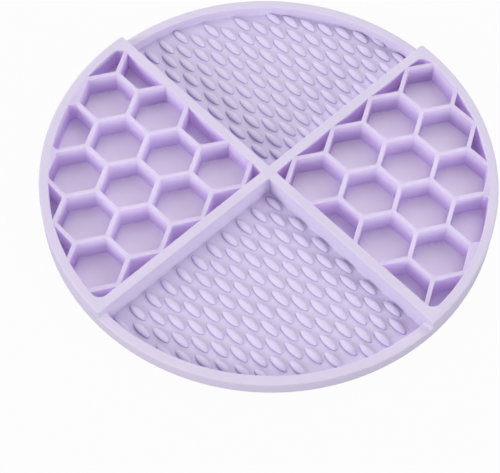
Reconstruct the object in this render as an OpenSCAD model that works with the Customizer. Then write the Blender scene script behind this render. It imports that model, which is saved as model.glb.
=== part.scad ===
// Round lick plate of soft moulded silicone, kept apart by its features: a floor disc, four rim arcs,
// a crossed divider, two fields of honeycomb walls and two fields of grain-shaped nubs.
// The origin is the middle of the underside. The nub trays lie in front (-Y) and behind (+Y).

/* [Plate] */
// Outer diameter of the plate
plate_d = 200; // [170:1:240]
// Height of the side rims, the dividers and the honeycomb
plate_h = 13; // [10:0.5:18]
// Thickness of the floor
floor_t = 2; // [1.5:0.1:3]
// Rounding of the outer edges
edge_r = 0.8; // [0.4:0.1:1.4]

/* [Rim] */
// Width of the tall rims beside the honeycomb
tall_rim_w = 4.2; // [3:0.1:6]
// Width of the low rims of the nub trays
low_rim_w = 4.4; // [3:0.1:6]
// How far the low rims stand below the tall rims
rim_step = 5.3; // [3:0.1:6]
// Rounding of the pocket corners between a tall rim and a divider
corner_r = 4; // [2:0.5:6]

/* [Dividers] */
// Width of the divider arms
divider_w = 4.6; // [3:0.1:8]

/* [Honeycomb] */
// Distance between the centres of neighbouring cells
cell_pitch = 23.9; // [18:0.1:30]
// Thickness of the cell walls
cell_wall = 1.9; // [1:0.1:2.4]
// Gap between a divider and the points of the cells in the row beside it
cell_point_gap = 0.4; // [0:0.1:2]
// How deep the first flat wall of that row lies inside the other divider
cell_flat_sink = 1.1; // [0:0.1:2]
// Shortest stretch of a cell wall that is made
wall_min = 2; // [1:0.5:4]
// How far past the rim's inner face the centre of an open cell may lie, as cells past that are solid
cell_overrun = 9.2; // [8:0.1:10]
// Least depth inside the rim of a solid cell that is made
solid_min = 0.3; // [0.2:0.1:1]
// Hair gap between cell walls where they meet, so that each wall is a solid of its own
wall_gap = 0.04; // [0.02:0.01:0.1]

/* [Nubs] */
// Length of a nub
nub_l = 9.8; // [7:0.1:12]
// Width of a nub, twice its height
nub_w = 3.7; // [2.5:0.1:4]
// Radius of the round ends of a nub
nub_tip_r = 0.9; // [0.4:0.1:1.1]
// Distance between nubs along a row
nub_pitch = 14.4; // [13:0.1:20]
// Distance between the rows of nubs, which are staggered
nub_row = 4.4; // [4.2:0.1:7]
// Gap between a divider and the side of the row beside it
nub_side_gap = 0.95; // [0.4:0.05:3]
// Gap between a divider and the end of the first nub in a row
nub_end_gap = 1.2; // [0.4:0.1:3]
// How far past the rim's inner face the far end of a nub may lie, which the rim then cuts off
nub_overrun = 2.5; // [0:0.1:4]

/* [Hidden] */
$fn = 96;
lilac = "#d9cfea";

// Turn of each quarter about the middle: it lies between its own X and Y axes
right_turn = -45;
rear_turn = 45;
left_turn = 135;
front_turn = 225;

// Radii, heights and half widths that several pieces share
plate_r = plate_d / 2;
tall_r = plate_r - tall_rim_w;
low_r = plate_r - low_rim_w;
low_h = plate_h - rim_step;
half_w = divider_w / 2;
wall_h = plate_h - floor_t;

// Honeycomb: point radius of a cell, distance between rows, and the centre of the first cell
cell_r = cell_pitch / sqrt(3);
cell_row = cell_pitch * sqrt(3) / 2;
cell_first = [half_w + cell_point_gap + cell_r, half_w - cell_flat_sink + cell_pitch / 2];
cell_count = ceil(plate_d / cell_row);
// Directions from a cell's centre to the three walls that it owns, as its neighbours own the others
own_walls = [-30, 30, 90];
// Half the length of a wall, and how far its pointed end tapers, so that three walls meet in mitres
wall_half = cell_r / 2 - wall_gap / sqrt(3);
wall_mitre = cell_wall / (2 * sqrt(3));
// Point radius of the solid in a cell that isn't open, with a hair gap to the walls around it
solid_r = cell_r - (cell_wall + 2 * wall_gap) / sqrt(3);

// Nubs: centre of a round end, radius of the arc along a side, and the centre of the first nub
nub_tip = [0, nub_l / 2 - nub_tip_r];
nub_arc_r = (pow(nub_w / 2, 2) + pow(nub_tip.y, 2) - pow(nub_tip_r, 2)) / (nub_w - 2 * nub_tip_r);
nub_first = [half_w + nub_side_gap + nub_w / 2, half_w + nub_end_gap + nub_l / 2];
nub_rows = ceil(plate_r / nub_row);
nub_columns = ceil(plate_r / nub_pitch);

// Centre of the circle that rounds a pocket corner, beside the divider along the Y axis
corner_x = half_w + corner_r;
corner_at = [corner_x, sqrt(pow(tall_r - corner_r, 2) - corner_x * corner_x)];

// Stretch of a line from a along d, as shares of d, that lies inside a circle about the middle
function in_circle(a, d, r) =
    let (
        mid = -(a * d) / (d * d),
        reach = mid * mid - (a * a - r * r) / (d * d)
    )
    reach < 0 ? [1, 0] : [mid - sqrt(reach), mid + sqrt(reach)];

// The same for one coordinate that has to lie above a limit
function above(a, d, limit) =
    d > 0 ? [(limit - a) / d, 1]
    : d < 0 ? [0, (limit - a) / d]
    : a > limit ? [0, 1] : [1, 0];

// Share of the line from a to b that lies inside the honeycomb's pocket
function pocket_share(a, b) =
    let (
        d = b - a,
        spans = [in_circle(a, d, tall_r), above(a.x, d.x, half_w), above(a.y, d.y, half_w)],
        from = max(0, max([for (s = spans) s[0]])),
        to = min(1, min([for (s = spans) s[1]]))
    )
    max(0, to - from);

// Centre of the cell in a row and column, with every other row moved on by half a pitch
function cell_at(row, column) =
    cell_first + [row * cell_row, (column + (row % 2) / 2) * cell_pitch];

// Middle and direction of each cell wall that shows in the pocket
cell_walls = [
    for (row = [-1 : cell_count], column = [-1 : cell_count], turn = own_walls)
        let (
            middle = cell_at(row, column) + cell_pitch / 2 * [cos(turn), sin(turn)],
            half = cell_r / 2 * [-sin(turn), cos(turn)]
        )
        if (pocket_share(middle - half, middle + half) * cell_r >= wall_min)
            [middle, turn + 90]
];

// Points of the solid in a cell that show inside the rim
function solid_points(spot) = [
    for (turn = [0 : 60 : 300])
        let (point = spot + solid_r * [cos(turn), sin(turn)])
        if (min(point) > half_w && norm(point) < tall_r - solid_min)
            point
];

// Centre of each cell that the rim leaves so little of that it is solid
solid_cells = [
    for (row = [-1 : cell_count], column = [-1 : cell_count])
        let (spot = cell_at(row, column))
        if (norm(spot) > tall_r + cell_overrun && len(solid_points(spot)) > 0)
            spot
];

// Centre of each nub in a tray
nub_spots = [
    for (row = [0 : nub_rows], column = [0 : nub_columns])
        let (spot = nub_first + [row * nub_row, (column + (row % 2) / 2) * nub_pitch])
        if (norm(spot + [0, nub_l / 2]) < low_r + nub_overrun)
            spot
];

// Section of a rim with its outer top edge rounded
module rim_section(inner_r, height) {
    difference() {
        translate([inner_r, floor_t])
            square([plate_r - inner_r, height - floor_t]);
        translate([plate_r - edge_r, height - edge_r])
            square(2 * edge_r);
    }
    translate([plate_r - edge_r, height - edge_r])
        circle(edge_r);
}

// Rim arc of one quarter, cut straight at the divider faces, which lie at the given distance
module rim_arc(inner_r, height, face) {
    intersection() {
        rotate_extrude()
            rim_section(inner_r, height);
        translate([face, face, 0])
            cube([plate_d, plate_d, plate_h]);
    }
}

// Plan of the fill that rounds the pocket corner beside the divider along the Y axis
module corner_plan() {
    difference() {
        intersection() {
            circle(tall_r + tall_rim_w / 2);
            polygon([
                corner_at,
                [half_w, corner_at.y],
                [half_w, plate_r],
                corner_at * plate_r / norm(corner_at)
            ]);
        }
        translate(corner_at)
            circle(corner_r);
    }
}

// Plan of both rounded corners of a honeycomb pocket
module corner_plans() {
    corner_plan();
    mirror([1, -1])
        corner_plan();
}

// Plan of the space that the honeycomb fills
module pocket_plan() {
    difference() {
        intersection() {
            circle(tall_r);
            translate([half_w, half_w])
                square(plate_r);
        }
        corner_plans();
    }
}

// Plan of one whole cell wall along the X axis, with mitred ends
module wall_plan() {
    side_x = wall_half - wall_mitre;
    polygon([
        [-wall_half, 0],
        [-side_x, -cell_wall / 2],
        [side_x, -cell_wall / 2],
        [wall_half, 0],
        [side_x, cell_wall / 2],
        [-side_x, cell_wall / 2]
    ]);
}

// Tall rim of a honeycomb quarter, which covers the ends of both divider arms
module tall_rim(turn) {
    rotate(turn)
        union() {
            rim_arc(tall_r, plate_h, -half_w);
            translate([0, 0, floor_t])
                linear_extrude(wall_h)
                    corner_plans();
        }
}

// Low rim of a nub tray, between the two divider arms
module low_rim(turn) {
    rotate(turn)
        rim_arc(low_r, low_h, half_w);
}

// One divider arm, from the hub to the inner face of the tall rim
module divider_arm(turn) {
    rotate(turn)
        translate([0, 0, floor_t])
            linear_extrude(wall_h)
                intersection() {
                    circle(tall_r);
                    translate([half_w, -half_w])
                        square([plate_r, divider_w]);
                }
}

// All the cell walls and solid cells of one honeycomb quarter
module honeycomb(turn) {
    rotate(turn)
        translate([0, 0, floor_t]) {
            for (wall = cell_walls)
                linear_extrude(wall_h)
                    intersection() {
                        translate(wall[0])
                            rotate(wall[1])
                                wall_plan();
                        pocket_plan();
                    }
            for (spot = solid_cells)
                linear_extrude(wall_h)
                    intersection() {
                        translate(spot)
                            circle(solid_r, $fn = 6);
                        pocket_plan();
                    }
        }
}

// Half of a nub's outline, along the Y axis: a long arc that runs into two round ends
module nub_half() {
    bow = [nub_w / 2 - nub_arc_r, 0];
    // Point past the outline on the line from the bow's centre through an end's centre
    past = 2 * nub_tip - bow;
    intersection() {
        translate(bow)
            circle(nub_arc_r);
        polygon([nub_tip, -nub_tip, [past.x, -past.y], past]);
    }
    for (side = [0, 1])
        mirror([0, side])
            intersection() {
                translate(nub_tip)
                    circle(nub_tip_r);
                polygon([nub_tip, past, [0, past.y]]);
            }
}

// One nub along the Y axis: the upper half of a grain
module nub() {
    rotate([90, 0, 0])
        rotate_extrude(angle = 180)
            nub_half();
}

// All the nubs of one tray, with those at the rim cut off by its inner face
module nub_field(turn) {
    rotate(turn)
        for (spot = nub_spots)
            if (norm(spot) + nub_l / 2 < low_r)
                translate([spot.x, spot.y, floor_t])
                    nub();
            else
                intersection() {
                    translate([spot.x, spot.y, floor_t])
                        nub();
                    cylinder(r = low_r, h = plate_h);
                }
}

// Floor disc with its lower edge rounded
module base_disc() {
    color(lilac)
        rotate_extrude() {
            difference() {
                square([plate_r, floor_t]);
                translate([plate_r - edge_r, -edge_r])
                    square(2 * edge_r);
            }
            translate([plate_r - edge_r, edge_r])
                circle(edge_r);
        }
}

// Square crossing of the dividers
module divider_hub() {
    color(lilac)
        rotate(right_turn)
            translate([-half_w, -half_w, floor_t])
                cube([divider_w, divider_w, wall_h]);
}

module rim_left() { color(lilac) tall_rim(left_turn); }
module rim_right() { color(lilac) tall_rim(right_turn); }
module rim_front() { color(lilac) low_rim(front_turn); }
module rim_rear() { color(lilac) low_rim(rear_turn); }
module divider_front_left() { color(lilac) divider_arm(front_turn); }
module divider_front_right() { color(lilac) divider_arm(right_turn); }
module divider_rear_left() { color(lilac) divider_arm(left_turn); }
module divider_rear_right() { color(lilac) divider_arm(rear_turn); }
module honeycomb_left() { color(lilac) honeycomb(left_turn); }
module honeycomb_right() { color(lilac) honeycomb(right_turn); }
module nubs_front() { color(lilac) nub_field(front_turn); }
module nubs_rear() { color(lilac) nub_field(rear_turn); }

base_disc();
rim_left();
rim_right();
rim_front();
rim_rear();
divider_hub();
divider_front_left();
divider_front_right();
divider_rear_left();
divider_rear_right();
honeycomb_left();
honeycomb_right();
nubs_front();
nubs_rear();
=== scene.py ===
"""Looks of a round lick plate of soft lilac silicone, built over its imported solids.

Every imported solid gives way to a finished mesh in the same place, with rounded top edges and small fillets
where it meets the floor. Lengths are in metres, in the plate's own frame: +Z up, -Y to the front tray.
"""

from __future__ import annotations

import logging
import math
from collections.abc import Mapping, Sequence
from dataclasses import dataclass
from enum import Enum

import bmesh
import bpy
import numpy as np
from bpy.types import Camera, ColorRamp, GeometryNodeTree, Light, Material, Mesh, Node, NodeSocket
from bpy.types import NodeTree, Object, World
from mathutils import Matrix, Vector
from mathutils.bvhtree import BVHTree

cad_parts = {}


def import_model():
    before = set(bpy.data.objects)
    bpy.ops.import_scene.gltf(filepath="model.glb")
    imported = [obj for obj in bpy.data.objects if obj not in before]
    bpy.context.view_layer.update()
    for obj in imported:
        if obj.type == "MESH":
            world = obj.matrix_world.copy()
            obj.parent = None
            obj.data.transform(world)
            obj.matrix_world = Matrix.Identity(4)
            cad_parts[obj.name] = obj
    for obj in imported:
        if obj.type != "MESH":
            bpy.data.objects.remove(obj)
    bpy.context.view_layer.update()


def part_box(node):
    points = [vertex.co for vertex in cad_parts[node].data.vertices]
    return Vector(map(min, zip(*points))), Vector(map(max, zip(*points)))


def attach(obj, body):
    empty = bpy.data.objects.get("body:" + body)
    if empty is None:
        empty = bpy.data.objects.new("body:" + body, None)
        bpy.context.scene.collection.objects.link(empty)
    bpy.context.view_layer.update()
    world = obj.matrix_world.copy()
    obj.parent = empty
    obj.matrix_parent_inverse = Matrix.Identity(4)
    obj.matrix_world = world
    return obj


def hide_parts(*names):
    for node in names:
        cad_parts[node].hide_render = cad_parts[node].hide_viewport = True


LOG = logging.getLogger("lick_plate")

MM = 0.001
BODY = "root"
OPENNESS = "openness"
RIGHT_ANGLE = math.radians(90)
HALF_TURN = math.radians(180)
FULL_TURN = math.radians(360)
MIDDLE = Vector((0, 0))
ARMS = 4
CELL_SIDES = 6
WHITE = (1.0, 1.0, 1.0, 1.0)
# Layers of finer noise in a pattern
NOISE_DETAIL = 2.0
# How open a point lies at each stop of a silicone's colours, which paint shade and light by openness
STOPS = {0.03: "deep", 0.22: "foot", 0.42: "cup", 0.5: "cup", 0.65: "lane", 0.98: "lane", 1.0: "open"}
# Points closer than this are one point
MERGE = 0.0005 * MM
# A point that can get less light than this faces down
LEAST_LIGHT = 5e-7
# Numbers of the sockets of a Mix node that mixes colours
MIX_FACTOR, MIX_A, MIX_B, MIX_RESULT = 0, 6, 7, 2

Colour = tuple[float, float, float, float]
# Points of a closed solid, and its faces as point numbers
Shape = tuple[list[Vector], list[list[int]]]


class Quarter(Enum):
    """Quarters of the plate, each with the turn of its own X axis in degrees."""

    RIGHT = -45.0
    REAR = 45.0
    LEFT = 135.0
    FRONT = 225.0

    @property
    def matrix(self) -> Matrix:
        """Turn from the quarter's own frame to the plate's frame."""
        return Matrix.Rotation(math.radians(self.value), 4, "Z")


class Signal:
    """One value that flows through a node tree, with its arithmetic as Math nodes."""

    def __init__(self, graph: Graph, socket: NodeSocket) -> None:
        """Wraps an output socket of a tree."""
        self.graph = graph
        self.socket = socket

    def math(self, operation: str, *others: Signal | float, first: bool = True) -> Signal:
        """Adds one Math node.

        Args:
            operation: Name of the operation.
            others: The other values it takes.
            first: Whether this value is the first one that the operation takes.

        Returns:
            The result.
        """
        values = (self, *others) if first else (*others, self)
        node = self.graph.node("ShaderNodeMath", {"operation": operation}, dict(enumerate(values)))
        return Signal(self.graph, node.outputs[0])

    def __add__(self, other: Signal | float) -> Signal:
        """Sum of two values."""
        return self.math("ADD", other)

    def __sub__(self, other: Signal | float) -> Signal:
        """Difference of two values."""
        return self.math("SUBTRACT", other)

    def __mul__(self, other: Signal | float) -> Signal:
        """Product of two values."""
        return self.math("MULTIPLY", other)

    def __truediv__(self, other: Signal | float) -> Signal:
        """Quotient of two values."""
        return self.math("DIVIDE", other)

    def __rsub__(self, other: float) -> Signal:
        """A number less this value."""
        return self.math("SUBTRACT", other, first=False)

    def __rtruediv__(self, other: float) -> Signal:
        """A number divided by this value."""
        return self.math("DIVIDE", other, first=False)

    __radd__ = __add__
    __rmul__ = __mul__

    def above(self, limit: Signal | float) -> Signal:
        """One where the value is above a limit, and nought elsewhere."""
        return self.math("GREATER_THAN", limit)

    def below(self, limit: Signal | float) -> Signal:
        """One where the value is below a limit, and nought elsewhere."""
        return self.math("LESS_THAN", limit)


class Graph:
    """Adds nodes to one shader or geometry tree and links them."""

    def __init__(self, tree: NodeTree) -> None:
        """Starts on the tree that gets the nodes."""
        self.tree = tree

    @classmethod
    def of(cls, owner: Material | World) -> Graph:
        """Starts on the emptied tree of a material or a world.

        Args:
            owner: What the tree belongs to.

        Returns:
            The graph.
        """
        owner.use_nodes = True
        owner.node_tree.nodes.clear()
        return cls(owner.node_tree)

    def node(
        self,
        kind: str,
        settings: Mapping[str, object] | None = None,
        sockets: Mapping[str | int, object] | None = None,
    ) -> Node:
        """Adds one node.

        Args:
            kind: Type name of the node.
            settings: The node's own settings, which are set first.
            sockets: A value or a link for each input, by its name or number.

        Returns:
            The new node.
        """
        made = self.tree.nodes.new(kind)
        for name, value in (settings or {}).items():
            if name == "stops":
                self.set_stops(made.color_ramp, value)
            else:
                setattr(made, name, value)
        for key, value in (sockets or {}).items():
            self.feed(made.inputs[key], value)
        return made

    def set_stops(self, ramp: ColorRamp, stops: Mapping[float, Colour]) -> None:
        """Sets the stops of a colour ramp.

        Args:
            ramp: A new ramp, which has two stops.
            stops: The colour at each place along the ramp.
        """
        elements = ramp.elements
        elements.remove(elements[-1])
        for number, (place, colour) in enumerate(stops.items()):
            stop = elements.new(place) if number else elements[0]
            stop.position = place
            stop.color = colour

    def feed(self, socket: NodeSocket, value: object) -> None:
        """Links a signal to an input, or sets the input's own value.

        Args:
            socket: The input socket.
            value: A signal or a plain value.
        """
        if isinstance(value, Signal):
            self.tree.links.new(value.socket, socket)
        else:
            socket.default_value = value

    def signal(
        self,
        kind: str,
        output: str | int,
        settings: Mapping[str, object] | None = None,
        sockets: Mapping[str | int, object] | None = None,
    ) -> Signal:
        """Adds one node as the node method does, and gives one of its outputs."""
        return Signal(self, self.node(kind, settings, sockets).outputs[output])

    def mix(self, factor: Signal | float, low: object, high: object, blend: str = "MIX") -> Signal:
        """Mixes two colours by the share of the second one."""
        sockets = {MIX_FACTOR: factor, MIX_A: low, MIX_B: high}
        return self.signal("ShaderNodeMix", MIX_RESULT, {"data_type": "RGBA", "blend_type": blend}, sockets)

    def mix_shaders(self, factor: Signal | float, low: Signal, high: Signal) -> Signal:
        """Mixes two shaders by the share of the second one."""
        return self.signal("ShaderNodeMixShader", "Shader", None, dict(enumerate((factor, low, high))))

    def parts(self, vector: Signal) -> list[Signal]:
        """The X, Y and Z of a vector."""
        split = self.node("ShaderNodeSeparateXYZ", None, {"Vector": vector})
        return [Signal(self, output) for output in split.outputs]


@dataclass(frozen=True)
class Station:
    """One point of an outline in plan.

    Attributes:
        at: Where the point lies.
        out: Direction out of the solid.
        foot: Share of the foot fillet that the solid has here.
        edge: How many times wider than it is high the rounding of the top edge is here.
    """

    at: Vector
    out: Vector
    foot: float = 1.0
    edge: float = 1.0


@dataclass(frozen=True)
class Ring:
    """One level of a wall.

    Attributes:
        z: Height of the level.
        out: How far the wall stands out of its plan there, or back from it.
    """

    z: float
    out: float


def direction(angle: float) -> Vector:
    """Unit vector in plan at an angle."""
    return Vector((math.cos(angle), math.sin(angle)))


def shares(steps: int) -> list[float]:
    """Even shares from nought to one."""
    return [step / steps for step in range(steps + 1)]


def swapped(point: Vector) -> Vector:
    """Mirror image of a plan point across the middle line of a quarter."""
    return Vector((point.y, point.x))


def arc(
    centre: Vector,
    radius: float,
    start: float,
    end: float,
    steps: int,
    hollow: bool = False,
    foot: float = 1.0,
    edge: float = 1.0,
) -> list[Station]:
    """Stations along an arc.

    Args:
        centre: Centre of the arc.
        radius: Radius of the arc.
        start: Angle of the first station.
        end: Angle of the last station.
        steps: Number of steps between them.
        hollow: Whether the solid lies outside the arc.
        foot: Share of the foot fillet.
        edge: How many times wider than it is high the rounding of the top edge is.

    Returns:
        The stations in order.
    """
    radials = [direction(start + (end - start) * share) for share in shares(steps)]
    side = -1.0 if hollow else 1.0
    return [Station(centre + radius * radial, side * radial, foot, edge) for radial in radials]


def straight(start: Vector, end: Vector, out: Vector, steps: int = 1) -> list[Station]:
    """Stations along a straight face, in even steps from its start to its end."""
    return [Station(start.lerp(end, share), out) for share in shares(steps)]


def mirrored(stations: Sequence[Station]) -> list[Station]:
    """Mirror image of a run of stations across the middle line of a quarter, in the opposite order."""
    return [Station(swapped(s.at), swapped(s.out), s.foot, s.edge) for s in reversed(stations)]


def wall_rings(low: float, high: float, foot_r: float, edge_r: float, steps: int) -> list[Ring]:
    """Levels of a wall with a fillet at its foot and a rounded top edge.

    Args:
        low: Height of the floor that it stands on.
        high: Height of its top.
        foot_r: Radius of the fillet at its foot.
        edge_r: Radius of its top edge.
        steps: Steps in each rounding, and in the upright face between them.

    Returns:
        The levels from the floor to the top.
    """
    angles = [RIGHT_ANGLE * share for share in shares(steps)]
    foot = [Ring(low + foot_r * (1 - math.cos(a)), foot_r * (1 - math.sin(a))) for a in angles]
    edge = [Ring(high - edge_r * (1 - math.sin(a)), edge_r * (math.cos(a) - 1)) for a in angles]
    rise = edge[0].z - foot[-1].z
    face = [Ring(foot[-1].z + rise * share, 0) for share in shares(steps)[1:-1]]
    return foot + face + edge


def loft(sections: Sequence[Sequence[Vector]]) -> Shape:
    """Closed solid through a row of sections with as many points each.

    Args:
        sections: The closed sections in order.

    Returns:
        The points and the faces.
    """
    count = len(sections[0])
    points = [point for section in sections for point in section]
    last = len(points) - count
    faces = [list(reversed(range(count))), list(range(last, len(points)))]
    for near in range(0, last, count):
        far = near + count
        for i in range(count):
            j = (i + 1) % count
            faces.append([near + i, near + j, far + j, far + i])
    return points, faces


def stack(outline: Sequence[Station], rings: Sequence[Ring]) -> Shape:
    """Closed solid over an outline.

    Args:
        outline: The outline, counter-clockwise.
        rings: The levels, from the lowest up.

    Returns:
        The points and the faces.
    """
    sections = []
    for ring in rings:
        outs = [ring.out * (station.foot if ring.out > 0 else station.edge) for station in outline]
        plan = [station.at + out * station.out for station, out in zip(outline, outs)]
        sections.append([point.to_3d() + Vector((0, 0, ring.z)) for point in plan])
    return loft(sections)


def new_mesh(name: str, points: Sequence[Vector], faces: Sequence[Sequence[int]]) -> Mesh:
    """Makes a mesh with doubled points merged and all faces turned outwards.

    Args:
        name: Name of the mesh.
        points: Its points.
        faces: Its faces, as point numbers.

    Returns:
        The mesh.
    """
    mesh = bpy.data.meshes.new(name)
    mesh.from_pydata(points, [], faces)
    tidy(mesh)
    return mesh


def tidy(mesh: Mesh) -> None:
    """Merges doubled points, drops faces without area and turns the rest outwards.

    Args:
        mesh: The mesh.
    """
    work = bmesh.new()
    work.from_mesh(mesh)
    bmesh.ops.remove_doubles(work, verts=work.verts, dist=MERGE)
    bmesh.ops.dissolve_degenerate(work, dist=MERGE, edges=work.edges)
    bmesh.ops.recalc_face_normals(work, faces=work.faces)
    work.to_mesh(mesh)
    work.free()


def new_object(data: Mesh | Light | Camera) -> Object:
    """Puts a mesh, a light or a camera into the scene under its own name, at the origin.

    Args:
        data: What the object holds.

    Returns:
        The object.
    """
    made = bpy.data.objects.new(data.name, data)
    bpy.context.scene.collection.objects.link(made)
    return made


def settle(piece: Object) -> None:
    """Makes what a piece's modifiers give its plain mesh, and removes them.

    Args:
        piece: The piece.
    """
    graph = bpy.context.evaluated_depsgraph_get()
    made = bpy.data.meshes.new_from_object(piece.evaluated_get(graph), depsgraph=graph)
    piece.modifiers.clear()
    old, piece.data = piece.data, made
    made.name = piece.name
    bpy.data.meshes.remove(old)


def grow(piece: Object, tree: GeometryNodeTree, values: Mapping[str, object]) -> None:
    """Runs a geometry tree on a piece and keeps the tidied result as its plain mesh.

    Args:
        piece: The object that the tree starts from.
        tree: The tree.
        values: A value for each of the tree's named inputs.
    """
    modifier = piece.modifiers.new(tree.name, "NODES")
    modifier.node_group = tree
    for item in tree.interface.items_tree:
        if item.in_out == "INPUT" and item.name in values:
            modifier[item.identifier] = values[item.name]
    settle(piece)
    tidy(piece.data)


@dataclass(frozen=True)
class PlateSizes:
    """Sizes that several pieces of the plate share.

    Attributes:
        plate_r: Outer radius of the plate.
        floor_z: Height of the floor's upper face.
        tall_z: Height of the side rims, dividers and honeycomb.
        low_z: Height of the rims of the nub trays.
        divider_half: Half the width of the dividers.
        tall_rim_w: Width of the side rims.
        low_rim_w: Width of the rims of the nub trays.
        corner_r: Rounding of the pocket corners between a side rim and a divider.
        edge_r: Rounding of the top edges.
        outer_edge: How many times wider than it is high the rounding of the plate's outer edge is.
        foot_r: Fillet where a wall meets the floor.
        steps: Steps in each such rounding.
    """

    plate_r: float
    floor_z: float
    tall_z: float
    low_z: float
    divider_half: float = 2.3 * MM
    tall_rim_w: float = 4.2 * MM
    low_rim_w: float = 4.4 * MM
    corner_r: float = 4.0 * MM
    edge_r: float = 0.5 * MM
    outer_edge: float = 2.4
    foot_r: float = 0.1 * MM
    steps: int = 4

    @classmethod
    def from_frame(cls) -> PlateSizes:
        """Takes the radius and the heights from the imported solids."""
        disc_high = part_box("base_disc")[1]
        return cls(disc_high.x, disc_high.z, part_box("rim_right")[1].z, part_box("rim_front")[1].z)

    @property
    def tall_r(self) -> float:
        """Inner radius of the side rims."""
        return self.plate_r - self.tall_rim_w

    @property
    def low_r(self) -> float:
        """Inner radius of the rims of the nub trays."""
        return self.plate_r - self.low_rim_w

    @property
    def corner(self) -> Vector:
        """Centre of the rounded pocket corner beside the divider along a quarter's Y axis."""
        x = self.divider_half + self.corner_r
        return Vector((x, math.sqrt((self.tall_r - self.corner_r) ** 2 - x * x)))

    @property
    def tall_rings(self) -> list[Ring]:
        """Levels of the walls that reach the full height."""
        return wall_rings(self.floor_z, self.tall_z, self.foot_r, self.edge_r, self.steps)

    def pocket_far_side(self, steps: int) -> list[Station]:
        """Inner face of a side rim with its two rounded corners, as the rim's own outline.

        Args:
            steps: Steps along the rim between the corners.

        Returns:
            Stations from the divider along Y to the divider along X.
        """
        corner_steps = 2 * self.steps
        angle = math.atan2(self.corner.y, self.corner.x)
        near_y = arc(self.corner, self.corner_r, HALF_TURN, angle, corner_steps, hollow=True)
        rim = arc(MIDDLE, self.tall_r, angle, RIGHT_ANGLE - angle, steps, hollow=True)
        return near_y + rim[1:-1] + mirrored(near_y)


@dataclass(frozen=True)
class Silicone:
    """Matte moulded silicone with a fine moulded grain, whose colour is painted shade and painted light: it
    follows how open each point lies, pale on the tops and deeper purple at the feet and in the hollows.

    Attributes:
        name: Name of the finish.
        open: Colour of the tops and outer sides.
        lane: Colour of the floor between the nubs and of the walls beside it.
        cup: Colour of the walls and floors of wide hollows, painted light and shade for the light that
            reaches there.
        foot: Colour where a wall meets a floor, a painted shade.
        deep: Colour in the narrowest hollows, a painted shade of saturated purple.
        patch: Tint of the faint patches.
        mottle: Size of the patches.
        grain: Size of the moulded grain.
        grain_depth: Depth of the grain.
        roughness: Mean roughness.
        roughness_range: How far the roughness wanders either way.
        gloss: Level of the mirror-like part.
        through: Share of the light that passes through a face, which shows in thin walls.
        lit: Colour of the light that passes through, which is the same all over.
    """

    name: str
    open: Colour = (0.71, 0.645, 0.825, 1.0)
    lane: Colour = (0.73, 0.66, 0.85, 1.0)
    cup: Colour = (0.78, 0.70, 0.91, 1.0)
    foot: Colour = (0.74, 0.58, 0.94, 1.0)
    deep: Colour = (0.88, 0.68, 0.99, 1.0)
    patch: Colour = (0.95, 0.95, 0.96, 1.0)
    mottle: float = 18.0 * MM
    grain: float = 0.35 * MM
    grain_depth: float = 0.02 * MM
    roughness: float = 0.55
    roughness_range: float = 0.06
    gloss: float = 0.4
    through: float = 0.0
    lit: Colour = (0.855, 0.785, 0.935, 1.0)

    def material(self) -> Material:
        """Gives the finish's node material, which the first call builds.

        Returns:
            The material.
        """
        made = bpy.data.materials.get(self.name)
        if made:
            return made
        made = bpy.data.materials.new(self.name)
        graph = Graph.of(made)
        place = graph.signal("ShaderNodeTexCoord", "Object")
        patches = self.noise(graph, place, self.mottle)
        grain = self.noise(graph, place, self.grain)
        relief = {"Height": grain, "Distance": self.grain_depth, "Strength": 1.0}
        sockets = {
            # The base colour is painted shade and light by openness, under faint random patches
            "Base Color": graph.mix(patches, self.depth_colour(graph, place), self.patch, "MULTIPLY"),
            "Roughness": (patches + grain - 1) * self.roughness_range + self.roughness,
            "Specular IOR Level": self.gloss,
            "Normal": graph.signal("ShaderNodeBump", "Normal", None, relief),
        }
        surface = graph.signal("ShaderNodeBsdfPrincipled", "BSDF", None, sockets)
        if self.through:
            passed = graph.signal("ShaderNodeBsdfTranslucent", "BSDF", None, {"Color": self.lit})
            surface = graph.mix_shaders(self.through, surface, passed)
        graph.node("ShaderNodeOutputMaterial", None, {"Surface": surface})
        return made

    def noise(self, graph: Graph, place: Signal, size: float) -> Signal:
        """Soft noise with features of a size."""
        sockets = {"Vector": place, "Scale": 1 / size, "Detail": NOISE_DETAIL}
        return graph.signal("ShaderNodeTexNoise", "Fac", None, sockets)

    def depth_colour(self, graph: Graph, place: Signal) -> Signal:
        """Painted shade and light: a colour that follows how open each point lies.

        Args:
            graph: The material's tree.
            place: Where the point is.

        Returns:
            The colour.
        """
        openness = graph.signal("ShaderNodeAttribute", "Fac", {"attribute_name": OPENNESS})
        stops = {level: getattr(self, name) for level, name in STOPS.items()}
        return graph.signal("ShaderNodeValToRGB", "Color", {"stops": stops}, {"Fac": openness})


@dataclass(frozen=True)
class QuarterSilicone(Silicone):
    """Silicone of a piece that lies in several quarters, with other colours of painted shade and light in
    those that hold the cells.

    Attributes:
        cells: The silicone whose colours it has in the side quarters.
        cells_end: Distance from the middle at which those colours end, inside the rim.
    """

    cells: Silicone = Silicone("cell_silicone")
    cells_end: float = 98.0 * MM

    def depth_colour(self, graph: Graph, place: Signal) -> Signal:
        """Painted shade and light of the cells in the side quarters, and of the trays in front and behind.

        Args:
            graph: The material's tree.
            place: Where the point is.

        Returns:
            The colour.
        """
        aside, along = (part.math("ABSOLUTE") for part in graph.parts(place)[:2])
        inside = (aside * aside + along * along).below(self.cells_end**2)
        trays = super().depth_colour(graph, place)
        return graph.mix(aside.above(along) * inside, trays, self.cells.depth_colour(graph, place))


# Four copies of one silicone, each with colours set for how its pieces are lit: painted light and shade. The
# rims darken towards the floor as painted shade.
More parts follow.
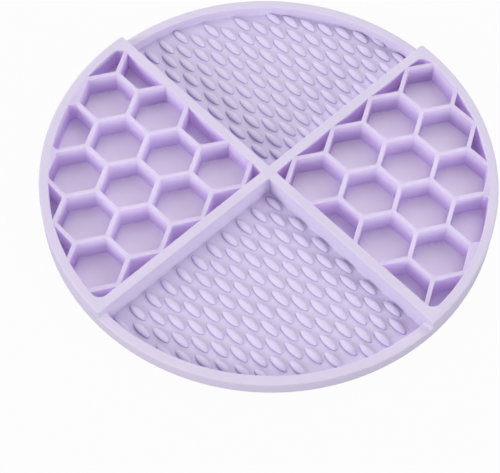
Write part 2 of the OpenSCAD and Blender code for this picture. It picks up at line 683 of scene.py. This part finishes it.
RIM_SILICONE = QuarterSilicone(
    "rim_silicone",
    cup=(0.75, 0.68, 0.87, 1.0),
    foot=(0.70, 0.62, 0.84, 1.0),
    deep=(0.66, 0.57, 0.81, 1.0),
)
# Painted shade darkens the tray floor at the feet of the walls, and painted light makes the cell floors
# lighter than the tops.
FLOOR_SILICONE = QuarterSilicone(
    "floor_silicone",
    lane=(0.72, 0.64, 0.86, 1.0),
    cup=(0.72, 0.64, 0.86, 1.0),
    foot=(0.66, 0.58, 0.81, 1.0),
    deep=(0.66, 0.58, 0.81, 1.0),
    cells=Silicone(
        "cell_silicone",
        lane=(0.93, 0.85, 0.99, 1.0),
        cup=(0.93, 0.85, 0.99, 1.0),
        foot=(0.82, 0.72, 0.96, 1.0),
        deep=(0.82, 0.72, 0.96, 1.0),
    ),
)
# Nubs are painted lighter than the tray floor on top, as painted light, and dark purple at their feet, as
# painted shade.
NUB_SILICONE = Silicone(
    "nub_silicone",
    open=(0.76, 0.68, 0.89, 1.0),
    lane=(0.76, 0.68, 0.89, 1.0),
    cup=(0.73, 0.65, 0.87, 1.0),
    foot=(0.42, 0.35, 0.63, 1.0),
    deep=(0.36, 0.30, 0.57, 1.0),
)
# Cell walls are painted lighter than the rims, partly for the light that passes through them, and darker
# purple at their feet as painted shade.
WALL_SILICONE = Silicone(
    "wall_silicone",
    open=(0.92, 0.90, 0.94, 1.0),
    lane=(0.89, 0.85, 0.94, 1.0),
    cup=(0.88, 0.82, 0.96, 1.0),
    foot=(0.65, 0.53, 0.83, 1.0),
    deep=(0.73, 0.50, 0.89, 1.0),
    through=0.5,
)


@dataclass
class PlateGroup:
    """A group of moulded pieces.

    Attributes:
        sizes: The plate's shared sizes.
        finish: The silicone of every piece.
        sharp: Bend in degrees past which an edge is shaded as sharp.
    """

    sizes: PlateSizes
    finish: Silicone = RIM_SILICONE
    sharp: float = 40.0

    def build(self) -> list[Object]:
        """Builds and dresses the group's pieces."""
        raise NotImplementedError

    def dress(self, piece: Object, node: str) -> Object:
        """Shades a piece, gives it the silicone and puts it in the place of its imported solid.

        Args:
            piece: The piece, already in place.
            node: Name of the solid that it stands for.

        Returns:
            The piece.
        """
        piece.data.materials.clear()
        piece.data.materials.append(self.finish.material())
        piece.data.shade_smooth()
        piece.data.set_sharp_from_angle(angle=math.radians(self.sharp))
        normals = piece.modifiers.new("Even shading", "WEIGHTED_NORMAL")
        normals.keep_sharp = True
        settle(piece)
        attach(piece, BODY)
        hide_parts(node)
        return piece

    def mould(
        self,
        sides: Mapping[str, Quarter],
        shape: Shape,
        tree: GeometryNodeTree | None = None,
        values: Mapping[str, object] | None = None,
    ) -> list[Object]:
        """Makes finished pieces from one shape in a quarter's own frame.

        Args:
            sides: Names of the solids that the pieces stand for, each with its quarter.
            shape: The shape.
            tree: Geometry tree that makes more of the shape.
            values: A value for each of the tree's named inputs, but for the material.

        Returns:
            The pieces.
        """
        pieces = []
        for node, quarter in sides.items():
            piece = new_object(new_mesh(f"moulded_{node}", *shape))
            if tree:
                grow(piece, tree, {**values, "Material": self.finish.material()})
            piece.data.transform(quarter.matrix)
            pieces.append(self.dress(piece, node))
        return pieces


@dataclass
class FloorDisc(PlateGroup):
    """The flat round floor, with a rounded lower edge.

    Attributes:
        lower_edge_r: Rounding of the lower edge.
        around: Steps round the disc.
        inward: Rings of faces between its edge and its middle.
    """

    finish: Silicone = FLOOR_SILICONE
    lower_edge_r: float = 0.8 * MM
    around: int = 288
    inward: int = 80

    def build(self) -> list[Object]:
        """Builds the disc.

        Returns:
            The one piece.
        """
        s = self.sizes
        outline = arc(MIDDLE, s.plate_r, 0, FULL_TURN * (1 - 1 / self.around), self.around - 1)
        edge = []
        for share in shares(s.steps):
            rise, back = 1 - math.cos(RIGHT_ANGLE * share), 1 - math.sin(RIGHT_ANGLE * share)
            edge.append(Ring(self.lower_edge_r * rise, -self.lower_edge_r * back))
        top = [Ring(s.floor_z, -s.plate_r * share) for share in shares(self.inward)[:-1]]
        return self.mould({"base_disc": Quarter.RIGHT}, stack(outline, edge + top))


@dataclass
class TallRims(PlateGroup):
    """The two side rims, which take in the outer ends of the dividers.

    Attributes:
        step_r: Rounding of the upright corners where the rim steps down to a tray.
        along: Steps along the rim.
    """

    step_r: float = 1.2 * MM
    along: int = 72

    def outline(self) -> list[Station]:
        """Outline of a side rim in its quarter's own frame.

        Returns:
            The stations, counter-clockwise.
        """
        s = self.sizes
        half = s.divider_half
        end_x = self.step_r - half
        end_corner = Vector((end_x, math.sqrt((s.plate_r - self.step_r) ** 2 - end_x * end_x)))
        end_angle = math.atan2(end_corner.y, end_corner.x)
        ends = (RIGHT_ANGLE - end_angle, end_angle)
        outer = arc(MIDDLE, s.plate_r, *ends, self.along, foot=0, edge=s.outer_edge)
        corner = arc(end_corner, self.step_r, end_angle, HALF_TURN, s.steps, foot=0, edge=s.outer_edge)
        face_out = Vector((-1, 0))
        in_tray_rim = Station(Vector((-half, s.plate_r - s.low_rim_w / 2)), face_out, 0)
        in_tray = straight(Vector((-half, s.low_r)), Vector((-half, s.corner.y)), face_out)
        end = [*corner[1:], in_tray_rim, *in_tray]
        return outer + end + s.pocket_far_side(self.along) + mirrored(end)

    def build(self) -> list[Object]:
        """Builds both side rims."""
        sides = {"rim_left": Quarter.LEFT, "rim_right": Quarter.RIGHT}
        return self.mould(sides, stack(self.outline(), self.sizes.tall_rings))


@dataclass
class LowRims(PlateGroup):
    """The two low rims of the nub trays, which sweep up to the side rims at their ends.

    Attributes:
        step_r: Rounding of the side rims' upright corners, which the ends reach past.
        sweep_r: Radius of the fillet between a low rim's top and the step up.
        sweep_steps: Steps along each sweep.
        along: Steps along the rim between the two sweeps.
    """

    step_r: float = 1.2 * MM
    sweep_r: float = 2.0 * MM
    sweep_steps: int = 12
    along: int = 72

    def section(self, share: float) -> list[Vector]:
        """Section of the rim at a share of its length.

        Args:
            share: Share of the way from the divider along X to the divider along Y.

        Returns:
            The closed section.
        """
        s = self.sizes
        middle_r = (s.plate_r + s.low_r) / 2
        nearest = min(self.place(middle_r, share)) - s.divider_half
        left = max(0.0, self.sweep_r - max(0.0, nearest))
        high = s.low_z + self.sweep_r - math.sqrt(self.sweep_r**2 - left**2)
        rings = wall_rings(s.floor_z, high, s.foot_r, s.edge_r, s.steps)
        outer = [(s.plate_r, s.floor_z)]
        outer += [(s.plate_r + s.outer_edge * ring.out, ring.z) for ring in rings if ring.out <= 0]
        inner = [(s.low_r - ring.out, ring.z) for ring in reversed(rings)]
        return [self.place(r, share).to_3d() + Vector((0, 0, z)) for r, z in outer + inner]

    def place(self, radius: float, share: float) -> Vector:
        """Plan point at a radius and a share of the rim's length, whose ends reach into the side rims.

        Args:
            radius: Distance from the middle.
            share: Share of the rim's length.

        Returns:
            The point.
        """
        s = self.sizes
        past = (radius - s.low_r) / s.low_rim_w
        outer_end = s.plate_r * (s.divider_half - self.step_r) / (s.plate_r - self.step_r)
        end = s.divider_half + (outer_end - s.divider_half) * past
        start = math.asin(end / radius)
        return radius * direction(start + (RIGHT_ANGLE - 2 * start) * share)

    def build(self) -> list[Object]:
        """Builds both low rims.

        Returns:
            The front rim and the rear one.
        """
        s = self.sizes
        sweep = (self.sweep_r + self.step_r) / (RIGHT_ANGLE * s.plate_r)
        rising = [sweep * share for share in shares(self.sweep_steps)]
        level = [sweep + (1 - 2 * sweep) * share for share in shares(self.along)]
        falling = [1 - share for share in reversed(rising)]
        places = rising + level[1:-1] + falling
        sections = [self.section(share) for share in reversed(places)]
        return self.mould({"rim_front": Quarter.FRONT, "rim_rear": Quarter.REAR}, loft(sections))


@dataclass
class CrossDivider(PlateGroup):
    """The four divider arms and the hub where they cross.

    Attributes:
        hub_r: Fillet in the corners of the hub.
        along: Steps along an arm.
    """

    hub_r: float = 0.4 * MM
    along: int = 16

    def hub_outline(self) -> list[Station]:
        """Outline of the hub, with a fillet between each two arms.

        Returns:
            The stations, counter-clockwise.
        """
        reach = self.sizes.divider_half + self.hub_r
        outline = []
        for arm in range(ARMS):
            start = arm * RIGHT_ANGLE
            centre = Matrix.Rotation(start, 2) @ Vector((reach, reach))
            ends = (start - RIGHT_ANGLE, start - HALF_TURN)
            outline += arc(centre, self.hub_r, *ends, self.sizes.steps, hollow=True)
        return outline

    def arm_outline(self) -> list[Station]:
        """Outline of the arm along a quarter's X axis, from the hub to the side rim.

        Returns:
            The stations, counter-clockwise.
        """
        half = self.sizes.divider_half
        start, end = half + self.hub_r, self.sizes.corner.y
        below = straight(Vector((start, -half)), Vector((end, -half)), Vector((0, -1)), self.along)
        above = straight(Vector((end, half)), Vector((start, half)), Vector((0, 1)), self.along)
        return below + above

    def build(self) -> list[Object]:
        """Builds the hub and the arms.

        Returns:
            The hub, and then the arms.
        """
        rings = self.sizes.tall_rings
        arms = {
            "divider_front_left": Quarter.FRONT,
            "divider_front_right": Quarter.RIGHT,
            "divider_rear_left": Quarter.LEFT,
            "divider_rear_right": Quarter.REAR,
        }
        hub = self.mould({"divider_hub": Quarter.RIGHT}, stack(self.hub_outline(), rings))
        return hub + self.mould(arms, stack(self.arm_outline(), rings))


@dataclass(frozen=True)
class Lattice:
    """A staggered lattice in a quarter's own frame, with rows along Y.

    Attributes:
        first_u: X of the first place in row nought.
        first_v: Y of the first place in row nought.
        row_step: Distance between rows.
        pitch: Distance between places along a row.
        rows: Number of rows.
        columns: Number of places along a row.
        lowest: Least coordinate that a place may have.
        reach: Greatest distance from the middle that the point ahead of a place may have.
        ahead: How far along the row that point lies.
    """

    first_u: float
    first_v: float
    row_step: float
    pitch: float
    rows: int
    columns: int
    lowest: float
    reach: float
    ahead: float = 0.0

    def inputs(self) -> dict[str, float]:
        """The lattice's sizes by the names that the trees give them."""
        return {name.replace("_", " ").title(): value for name, value in vars(self).items()}


class FieldTree:
    """A geometry tree that repeats one shape over a staggered lattice."""

    COUNTS = ("Rows", "Columns")
    LENGTHS = ("First U", "First V", "Row Step", "Pitch", "Lowest", "Reach", "Ahead", "Height")

    def __init__(self, name: str, others: Mapping[str, str]) -> None:
        """Starts a tree with the lattice's inputs.

        Args:
            name: Name of the tree.
            others: Names of the tree's own inputs, with their kinds of socket.
        """
        self.tree = bpy.data.node_groups.new(name, "GeometryNodeTree")
        kinds = {"Geometry": "NodeSocketGeometry", "Material": "NodeSocketMaterial"}
        kinds |= dict.fromkeys(self.COUNTS, "NodeSocketInt")
        kinds |= dict.fromkeys(self.LENGTHS, "NodeSocketFloat")
        for socket, kind in {**kinds, **others}.items():
            self.tree.interface.new_socket(socket, in_out="INPUT", socket_type=kind)
        self.tree.interface.new_socket("Geometry", in_out="OUTPUT", socket_type="NodeSocketGeometry")
        self.graph = Graph(self.tree)
        self.given = self.graph.node("NodeGroupInput")

    def input(self, name: str) -> Signal:
        """One of the tree's inputs."""
        return Signal(self.graph, self.given.outputs[name])

    def repeat(self, shape: Signal) -> Signal:
        """Puts a shape on every place of the lattice.

        Args:
            shape: The shape's geometry.

        Returns:
            The real geometry of all the copies.
        """
        g = self.graph
        rows, columns = self.input("Rows"), self.input("Columns")
        last_row, last_column = rows - 1, columns - 1
        grid = {"Vertices X": rows, "Vertices Y": columns, "Size X": last_row, "Size Y": last_column}
        places = g.signal("GeometryNodeMeshGrid", "Mesh", None, grid)
        x, y, _ = g.parts(g.signal("GeometryNodeInputPosition", 0))
        row = (x + last_row / 2).math("ROUND")
        column = (y + last_column / 2).math("ROUND")
        # Every second row is moved by half a pitch
        u = self.input("First U") + row * self.input("Row Step")
        v = self.input("First V") + (column + row.math("MODULO", 2.0) / 2) * self.input("Pitch")
        lowest, reach = self.input("Lowest"), self.input("Reach")
        ahead = v + self.input("Ahead")
        inside = u.above(lowest) * v.above(lowest) * (u * u + ahead * ahead).below(reach * reach)
        spot = g.signal("ShaderNodeCombineXYZ", 0, None, {"X": u, "Y": v, "Z": self.input("Height")})
        kept = g.signal("GeometryNodeDeleteGeometry", 0, None, {"Geometry": places, "Selection": 1 - inside})
        moved = g.signal("GeometryNodeSetPosition", 0, None, {"Geometry": kept, "Position": spot})
        copies = g.signal("GeometryNodeInstanceOnPoints", 0, None, {"Points": moved, "Instance": shape})
        return g.signal("GeometryNodeRealizeInstances", 0, None, {"Geometry": copies})

    def finish(self, made: Signal) -> GeometryNodeTree:
        """Ends the tree.

        Args:
            made: The geometry that it gives.

        Returns:
            The whole tree.
        """
        real = self.graph.signal("GeometryNodeRealizeInstances", 0, None, {"Geometry": made})
        sockets = {"Geometry": real, "Material": self.input("Material")}
        dressed = self.graph.signal("GeometryNodeSetMaterial", 0, None, sockets)
        self.graph.node("NodeGroupOutput", None, {"Geometry": dressed})
        return self.tree


@dataclass
class HoneycombCells(PlateGroup):
    """The two fields of open six-sided cells: a block that a lattice of pockets is cut from.

    Attributes:
        pitch: Distance between the centres of neighbouring cells.
        wall: Thickness of the cell walls.
        point_gap: Gap between a divider and the points of the cells in the row beside it.
        flat_sink: How deep the first flat wall of that row lies inside the other divider.
        cell_corner_r: Rounding of the upright corners of a cell.
        cell_edge_r: Rounding of the top edges of the cell walls.
        cell_foot_r: Fillet between a cell's walls and its floor.
        overrun: How far past the rim's inner face the centre of an open cell may lie, as the rest is solid.
        cut_past: How far a pocket is cut past the block's faces.
        sink: How far the block reaches into the floor, which hides the thin edge of the fillet.
        before: Rows and columns of the lattice before the first whole cell.
        rim_steps: Steps along the rim side of the block.
    """

    finish: Silicone = WALL_SILICONE
    pitch: float = 23.9 * MM
    wall: float = 1.9 * MM
    point_gap: float = 0.4 * MM
    flat_sink: float = 1.1 * MM
    cell_corner_r: float = 0.8 * MM
    cell_edge_r: float = 0.25 * MM
    cell_foot_r: float = 0.6 * MM
    overrun: float = 9.2 * MM
    cut_past: float = 1.0 * MM
    sink: float = 0.15 * MM
    before: int = 2
    rim_steps: int = 72

    def lattice(self) -> Lattice:
        """Lattice of the cell centres, which starts outside the pocket.

        Returns:
            The lattice.
        """
        half = self.sizes.divider_half
        point_r = self.pitch / math.sqrt(3)
        row_step = self.pitch * math.sqrt(3) / 2
        whole = Vector((half + self.point_gap + point_r, half - self.flat_sink + self.pitch / 2))
        first = whole - self.before * Vector((row_step, self.pitch))
        count = self.before + math.ceil(self.sizes.plate_r / row_step) + 1
        reach = self.sizes.tall_r + self.overrun
        return Lattice(*first, row_step, self.pitch, count, count, -point_r, reach)

    def block(self) -> Shape:
        """Solid block that fills the pocket and reaches under the rounded edges around it.

        Returns:
            The shape.
        """
        s = self.sizes
        near = Station(Vector((s.corner.y, s.divider_half)), Vector((0, 1)))
        inner = Station(Vector((s.divider_half, s.divider_half)), Vector((1, 1)))
        sides = [*s.pocket_far_side(self.rim_steps), near, inner]
        outline = [Station(side.at - s.edge_r * side.out, side.out) for side in reversed(sides)]
        return stack(outline, [Ring(s.floor_z - self.sink, 0), Ring(s.tall_z, 0)])

    def pocket(self) -> Shape:
        """Shape of one open cell, with its flared mouth and rounded floor edge.

        Returns:
            The shape.
        """
        s = self.sizes
        spread = HALF_TURN / CELL_SIDES
        centre_r = (self.pitch / 2 - self.wall / 2 - self.cell_corner_r) / math.cos(spread)
        outline = []
        for side in range(CELL_SIDES):
            angle = side * FULL_TURN / CELL_SIDES
            centre = centre_r * direction(angle)
            outline += arc(centre, self.cell_corner_r, angle - spread, angle + spread, s.steps)
        levels = wall_rings(s.floor_z - self.sink, s.tall_z, self.cell_foot_r, self.cell_edge_r, s.steps)
        walls = [Ring(ring.z, -ring.out) for ring in levels]
        below = Ring(walls[0].z - self.cut_past, walls[0].out)
        mouth = Ring(walls[-1].z + self.cut_past, walls[-1].out)
        return stack(outline, [below, *walls, mouth])

    def tree(self) -> GeometryNodeTree:
        """Geometry tree that cuts a lattice of pockets from a block.

        Returns:
            The tree.
        """
        field = FieldTree("Honeycomb cells", {"Pocket": "NodeSocketObject"})
        g = field.graph
        shape = g.signal("GeometryNodeObjectInfo", "Geometry", None, {"Object": field.input("Pocket")})
        cut = g.signal(
            "GeometryNodeMeshBoolean",
            "Mesh",
            {"operation": "DIFFERENCE", "solver": "EXACT"},
            {"Mesh 1": field.input("Geometry"), "Mesh 2": field.repeat(shape)},
        )
        return field.finish(cut)

    def build(self) -> list[Object]:
        """Builds both honeycombs.

        Returns:
            The left honeycomb and the right one.
        """
        pocket = new_object(new_mesh("cell_pocket", *self.pocket()))
        values = {**self.lattice().inputs(), "Height": 0.0, "Pocket": pocket}
        sides = {"honeycomb_left": Quarter.LEFT, "honeycomb_right": Quarter.RIGHT}
        pieces = self.mould(sides, self.block(), self.tree(), values)
        bpy.data.objects.remove(pocket)
        return pieces


@dataclass
class NubTrays(PlateGroup):
    """The two fields of grain-shaped nubs in the trays.

    Attributes:
        length: Length of a nub.
        width: Width of a nub.
        height: Height of a nub.
        tip_r: Radius of its round ends.
        fullness: Power that shapes its section, from 1 for round to nought for square.
        pitch: Distance between nubs along a row.
        row_step: Distance between the staggered rows.
        side_gap: Gap between a divider and the side of the row beside it.
        end_gap: Gap between a divider and the end of the first nub in a row.
        overrun: How far past the rim's inner face the far end of a nub may lie.
        bury: How far into the rim a nub may reach.
        along: Steps along a nub.
        across: Steps across a nub.
    """

    finish: Silicone = NUB_SILICONE
    sharp: float = 75.0
    length: float = 9.8 * MM
    width: float = 3.7 * MM
    height: float = 1.85 * MM
    tip_r: float = 0.9 * MM
    fullness: float = 0.8
    pitch: float = 14.4 * MM
    row_step: float = 4.4 * MM
    side_gap: float = 0.95 * MM
    end_gap: float = 1.2 * MM
    overrun: float = 2.5 * MM
    bury: float = 1.0 * MM
    along: int = 10
    across: int = 6

    def lattice(self) -> Lattice:
        """Lattice of the nub centres.

        Returns:
            The lattice.
        """
        half = self.sizes.divider_half
        first = Vector((half + self.side_gap + self.width / 2, half + self.end_gap + self.length / 2))
        rows = math.ceil(self.sizes.plate_r / self.row_step)
        columns = math.ceil(self.sizes.plate_r / self.pitch)
        reach = self.sizes.low_r + self.overrun
        return Lattice(*first, self.row_step, self.pitch, rows, columns, 0.0, reach, self.length / 2)

    def half_width(self, y: float) -> float:
        """Half the width of a nub at a distance from its middle: a long arc that runs into a round end.

        Args:
            y: Distance from the middle, along the nub.

        Returns:
            Half the width there.
        """
        half_w, tip_y = self.width / 2, self.length / 2 - self.tip_r
        bow_r = (half_w**2 + tip_y**2 - self.tip_r**2) / (self.width - 2 * self.tip_r)
        if abs(y) < tip_y * bow_r / (bow_r - self.tip_r):
            return half_w - bow_r + math.sqrt(bow_r**2 - y * y)
        return math.sqrt(max(0.0, self.tip_r**2 - (abs(y) - tip_y) ** 2))

    def nub(self) -> Shape:
        """One nub along Y on the floor: the upper half of a full grain with round ends.

        Returns:
            The shape.
        """
        sections = []
        for share in shares(self.along):
            y = self.length / 2 * math.cos(HALF_TURN * share)
            half_w = self.half_width(y)
            high = self.height * half_w / (self.width / 2)
            section = []
            for step in shares(self.across):
                across, up = math.cos(HALF_TURN * step), math.sin(HALF_TURN * step)
                x = -half_w * math.copysign(abs(across) ** self.fullness, across)
                section.append(Vector((x, y, high * max(0.0, up) ** self.fullness)))
            sections.append(section)
        return loft(sections)

    def tree(self) -> GeometryNodeTree:
        """Geometry tree that sets nubs over a tray and ends those at the rim inside it.

        Returns:
            The tree.
        """
        field = FieldTree("Nub field", {"Limit": "NodeSocketFloat"})
        g = field.graph
        nubs = field.repeat(field.input("Geometry"))
        x, y, z = g.parts(g.signal("GeometryNodeInputPosition", 0))
        drawn_in = (field.input("Limit") / (x * x + y * y).math("SQRT")).math("MINIMUM", 1.0)
        held = g.signal("ShaderNodeCombineXYZ", 0, None, {"X": x * drawn_in, "Y": y * drawn_in, "Z": z})
        kept = g.signal("GeometryNodeSetPosition", 0, None, {"Geometry": nubs, "Position": held})
        return field.finish(kept)

    def build(self) -> list[Object]:
        """Builds both nub fields.

        Returns:
            The front nubs and the rear ones.
        """
        s = self.sizes
        values = {**self.lattice().inputs(), "Height": s.floor_z, "Limit": s.low_r + self.bury}
        sides = {"nubs_front": Quarter.FRONT, "nubs_rear": Quarter.REAR}
        return self.mould(sides, self.nub(), self.tree(), values)


@dataclass
class Hollows:
    """How open each point of the plate lies: one where nothing shades it, nought deep in a hollow.

    Attributes:
        pieces: All the pieces of the plate.
        plate_r: Outer radius of the plate.
        step: Step of the map of heights.
        lift: How far off its surface a point is judged.
        reach: Distance past which nothing shades a point.
        turns: Number of directions that are looked in.
        looks: Number of places that are looked at in each direction.
    """

    pieces: Sequence[Object]
    plate_r: float
    step: float = 0.4 * MM
    lift: float = 1.0 * MM
    reach: float = 24.0 * MM
    turns: int = 24
    looks: int = 24

    def __post_init__(self) -> None:
        """Maps the height of the plate from above, with nothing round it."""
        points: list[Vector] = []
        faces: list[list[int]] = []
        for piece in self.pieces:
            first = len(points)
            points += [vertex.co.copy() for vertex in piece.data.vertices]
            faces += [[first + corner for corner in face.vertices] for face in piece.data.polygons]
        tree = BVHTree.FromPolygons(points, faces)
        self.half = math.ceil((self.plate_r + self.reach) / self.step)
        places = [self.step * number for number in range(-self.half, self.half + 1)]
        down = Vector((0, 0, -1))
        drops = [[tree.ray_cast(Vector((x, y, self.plate_r)), down)[0] for y in places] for x in places]
        self.heights = np.array([[hit.z if hit else -self.plate_r for hit in row] for row in drops])

    def height(self, x: np.ndarray, y: np.ndarray) -> np.ndarray:
        """Heights of the plate at plan points.

        Args:
            x: X of the points.
            y: Y of the points.

        Returns:
            The heights.
        """
        row, column = (np.rint(along / self.step).astype(int) + self.half for along in (x, y))
        last = 2 * self.half
        return self.heights[np.clip(row, 0, last), np.clip(column, 0, last)]

    def openness(self, at: np.ndarray, normal: np.ndarray) -> np.ndarray:
        """How open points lie, each seen over the half space that it faces.

        Args:
            at: Places of the points.
            normal: Directions that they face.

        Returns:
            A share for each point.
        """
        seen, whole = np.zeros(len(at)), np.zeros(len(at))
        up = np.maximum(normal[:, 2], 0)
        for share in shares(self.turns)[:-1]:
            along = direction(FULL_TURN * share)
            slope = np.full(len(at), -np.inf)
            # The places that are looked at lie closer together near the point
            for look in shares(self.looks)[1:]:
                far = self.reach * look * look
                rise = self.height(at[:, 0] + far * along.x, at[:, 1] + far * along.y) - at[:, 2]
                slope = np.maximum(slope, rise / far)
            skyline = np.arctan(slope)
            facing = np.maximum(normal[:, 0] * along.x + normal[:, 1] * along.y, 0)
            # Light from above the skyline on an upright face, and on a level one
            side = HALF_TURN / 4 - skyline / 2 - np.sin(2 * skyline) / 4
            top = np.cos(np.maximum(skyline, 0)) ** 2 / 2
            seen += facing * side + up * top
            whole += facing * HALF_TURN / 2 + up / 2
        return np.divide(seen, whole, out=np.ones_like(seen), where=whole > LEAST_LIGHT)

    def write(self, piece: Object) -> None:
        """Gives a piece its openness as an attribute of its points.

        Args:
            piece: The piece.
        """
        points = piece.data.vertices
        at, normal = np.empty((2, len(points) * 3))
        points.foreach_get("co", at)
        points.foreach_get("normal", normal)
        at, normal = at.reshape(-1, 3), normal.reshape(-1, 3)
        share = self.openness(at + self.lift * normal, normal)
        attribute = piece.data.attributes.new(OPENNESS, "FLOAT", "POINT")
        attribute.data.foreach_set("value", share)


@dataclass(frozen=True)
class Lamp:
    """One soft square light that faces the plate.

    Attributes:
        name: Name of the light.
        place: Where it hangs.
        side: Length of its side.
        watts: Its power.
    """

    name: str
    place: Vector
    side: float
    watts: float

    def hang(self) -> None:
        """Puts the light into the scene."""
        data = bpy.data.lights.new(self.name, "AREA")
        data.size = self.side
        data.energy = self.watts
        lamp = new_object(data)
        lamp.location = self.place
        lamp.rotation_mode = "QUATERNION"
        lamp.rotation_quaternion = (-self.place).to_track_quat("-Z", "Y")


LAMPS = (
    Lamp("key", place=Vector((0.45, 0.85, 1.3)), side=1.2, watts=9.2),
    Lamp("left", place=Vector((-1.25, -0.62, 0.6)), side=0.8, watts=13.3),
    Lamp("right", place=Vector((1.12, -1.08, 0.45)), side=0.8, watts=10.0),
    Lamp("rear", place=Vector((-0.5, 1.4, 0.45)), side=0.8, watts=4.5),
)


@dataclass(frozen=True)
class Studio:
    """White floor, soft light and the camera.

    Attributes:
        camera_place: Where the camera stands.
        elevation: Angle at which it looks down, in degrees.
        roll: How far the picture is turned, in degrees.
        lens: Focal length in millimetres.
        sensor: Width of the picture on the sensor in millimetres.
        floor_side: Side of the floor.
        floor_white: Share of the light that the floor gives back.
        floor_glow: Share of plain white that the camera sees in the floor.
        horizon: Strength of the light from all round near the floor.
        zenith: Strength of the light from straight above.
    """

    camera_place: Vector
    elevation: float = 59.159
    roll: float = 1.623
    lens: float = 110.66
    sensor: float = 36.0
    floor_side: float = 6.0
    floor_white: float = 0.5
    floor_glow: float = 0.96
    horizon: float = 0.36
    zenith: float = 0.38

    def set_up(self, lamps: Sequence[Lamp]) -> None:
        """Builds the whole studio.

        Args:
            lamps: The lights.
        """
        self.aim_camera()
        self.lay_floor()
        self.light_sky()
        for lamp in lamps:
            lamp.hang()
        bpy.context.scene.view_settings.view_transform = "Standard"

    def aim_camera(self) -> None:
        """Adds the camera."""
        data = bpy.data.cameras.new("camera")
        data.lens = self.lens
        data.sensor_width = self.sensor
        camera = new_object(data)
        tilt = Matrix.Rotation(RIGHT_ANGLE - math.radians(self.elevation), 4, "X")
        turn = Matrix.Rotation(math.radians(self.roll), 4, "Z")
        camera.matrix_world = Matrix.Translation(self.camera_place) @ tilt @ turn
        bpy.context.scene.camera = camera

    def lay_floor(self) -> None:
        """Adds the floor, which the camera sees nearly white under a faint shadow."""
        half = self.floor_side / 2
        corners = [Vector((x, y, 0)) for x, y in ((-half, -half), (half, -half), (half, half), (-half, half))]
        mesh = new_mesh("floor", corners, [[0, 1, 2, 3]])
        material = bpy.data.materials.new("white_floor")
        graph = Graph.of(material)
        white = (self.floor_white, self.floor_white, self.floor_white, 1.0)
        matte = graph.signal("ShaderNodeBsdfDiffuse", "BSDF", None, {"Color": white})
        glow = graph.signal("ShaderNodeEmission", "Emission", None, {"Color": WHITE})
        seen = graph.signal("ShaderNodeLightPath", "Is Camera Ray") * self.floor_glow
        graph.node("ShaderNodeOutputMaterial", None, {"Surface": graph.mix_shaders(seen, matte, glow)})
        mesh.materials.append(material)
        new_object(mesh)

    def light_sky(self) -> None:
        """Lights the scene from all round like a light tent, with a white background behind it."""
        world = bpy.data.worlds.new("sky")
        graph = Graph.of(world)
        path = graph.node("ShaderNodeLightPath")
        rays = ("Camera", "Glossy", "Transmission")
        camera, gloss, passing = (Signal(graph, path.outputs[f"Is {ray} Ray"]) for ray in rays)
        shown = camera.math("MAXIMUM", gloss).math("MAXIMUM", passing)
        height = graph.parts(graph.signal("ShaderNodeTexCoord", "Generated"))[-1].math("MAXIMUM", 0.0)
        tent = height * (self.zenith - self.horizon) + self.horizon
        light = {"Color": WHITE, "Strength": shown + (1 - shown) * tent}
        sky = graph.signal("ShaderNodeBackground", 0, None, light)
        graph.node("ShaderNodeOutputWorld", None, {"Surface": sky})
        bpy.context.scene.world = world


def main() -> None:
    """Builds the plate and its studio, gives each piece its openness and logs its number of faces."""
    logging.basicConfig(level=logging.INFO, format="%(name)s: %(message)s")
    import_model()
    sizes = PlateSizes.from_frame()
    Studio(camera_place=Vector((-0.00746, -0.36790, 0.57354))).set_up(LAMPS)
    kinds = (FloorDisc, TallRims, LowRims, CrossDivider, HoneycombCells, NubTrays)
    pieces = [piece for kind in kinds for piece in kind(sizes).build()]
    hollows = Hollows(pieces, sizes.plate_r)
    for piece in pieces:
        hollows.write(piece)
        LOG.info("%s: %d faces", piece.name, len(piece.data.polygons))


if __name__ == "__main__":
    main()
